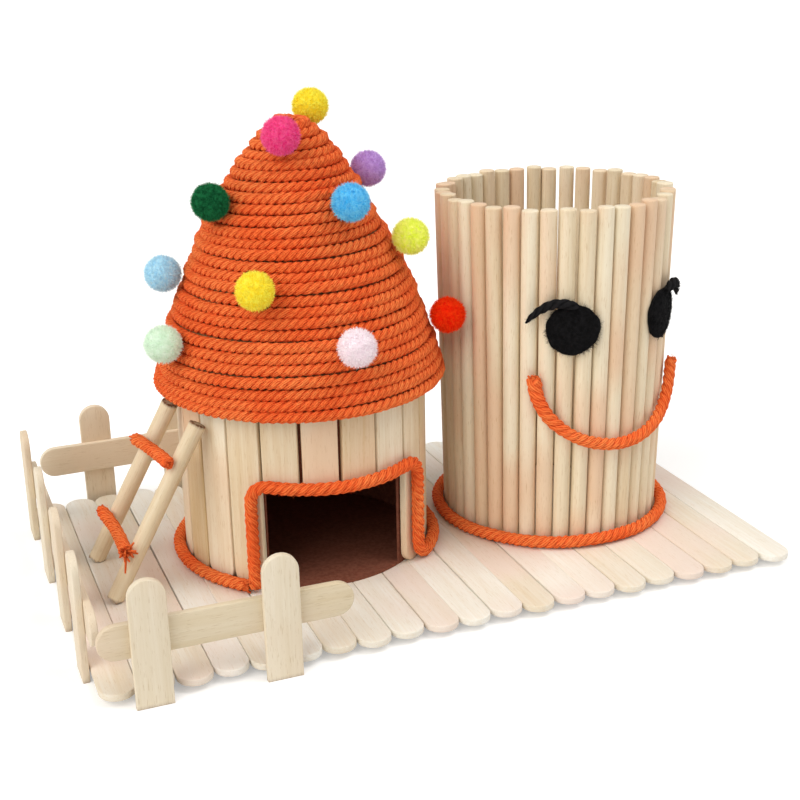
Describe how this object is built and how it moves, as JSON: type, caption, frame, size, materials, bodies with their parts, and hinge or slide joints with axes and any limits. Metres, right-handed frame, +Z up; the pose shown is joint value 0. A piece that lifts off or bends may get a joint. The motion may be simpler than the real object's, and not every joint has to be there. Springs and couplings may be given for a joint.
{
  "type": "craft stick desk tidy with toy hut",
  "caption": "Craft-stick raft with a round hut under a lift-off rope roof with pompoms, a dowel ladder, picket fences and a smiling dowel pen pot.",
  "frame": {"origin": "under the middle of the whole piece, on the surface that it stands on", "axes": "+X along the long side of the raft from the hut to the pot, +Y to the back, +Z up; the door and the smile look towards -Y"},
  "size_m": [0.2121, 0.1354, 0.1421],
  "materials": {
    "deck_stick": "raw birch craft stick, fine straight grain",
    "fence_stick": "raw birch craft stick, fine straight grain",
    "wall_stick": "raw birch craft stick, fine straight grain",
    "dowel_wood": "raw round wooden dowel, smooth",
    "orange_rope": "soft twisted cotton rope, slightly fuzzy",
    "brown_card": "dark brown paper-faced card, matt",
    "grey_card": "plain grey-brown card, matt",
    "black_felt": "black wool felt and yarn, fibrous",
    "pom_yellow": "fluffy acrylic pompom, matt and fuzzy",
    "pom_magenta": "fluffy acrylic pompom, matt and fuzzy",
    "pom_purple": "fluffy acrylic pompom, matt and fuzzy",
    "pom_green": "fluffy acrylic pompom, matt and fuzzy",
    "pom_sky": "fluffy acrylic pompom, matt and fuzzy",
    "pom_lime": "fluffy acrylic pompom, matt and fuzzy",
    "pom_pale_blue": "fluffy acrylic pompom, matt and fuzzy",
    "pom_red": "fluffy acrylic pompom, matt and fuzzy",
    "pom_pale_pink": "fluffy acrylic pompom, matt and fuzzy",
    "pom_mint": "fluffy acrylic pompom, matt and fuzzy"
  },
  "bodies": {
    "base": {"batten_front": "deck_stick", "batten_middle": "deck_stick", "batten_back": "deck_stick", "deck_sticks": "deck_stick", "front_rail": "fence_stick", "front_picket_1": "fence_stick", "front_picket_2": "fence_stick", "left_rail": "fence_stick", "left_picket_1": "fence_stick", "left_picket_2": "fence_stick", "left_picket_3": "fence_stick", "left_picket_4": "fence_stick", "back_rail": "fence_stick", "back_picket_1": "fence_stick", "back_picket_2": "fence_stick", "hut_wall_sticks": "wall_stick", "hut_lintel_sticks": "wall_stick", "hut_liner": "brown_card", "hut_rope": "orange_rope", "ladder_rail_front": "dowel_wood", "ladder_rail_rear": "dowel_wood", "ladder_rung_upper": "orange_rope", "ladder_rung_lower": "orange_rope", "pot_dowels": "dowel_wood", "pot_base_rope": "orange_rope", "smile_rope": "orange_rope", "eye_left": "black_felt", "eye_right": "black_felt", "lash_left": "black_felt", "lash_right": "black_felt"},
    "roof": {"roof_cone": "grey_card", "roof_rope": "orange_rope", "pompom_yellow_top": "pom_yellow", "pompom_magenta": "pom_magenta", "pompom_purple": "pom_purple", "pompom_dark_green": "pom_green", "pompom_sky_blue": "pom_sky", "pompom_lime": "pom_lime", "pompom_pale_blue": "pom_pale_blue", "pompom_yellow_low": "pom_yellow", "pompom_red": "pom_red", "pompom_pale_pink": "pom_pale_pink", "pompom_mint": "pom_mint", "pompom_back_red": "pom_red", "pompom_back_sky": "pom_sky", "pompom_back_pink": "pom_magenta", "pompom_back_yellow": "pom_yellow", "pompom_back_lime": "pom_lime"}
  },
  "joints": [
    {"name": "roof_lift", "type": "slide", "parent": "base", "child": "roof", "axis": [0, 0, 1], "range_m": [0, 0.15]}
  ]
}
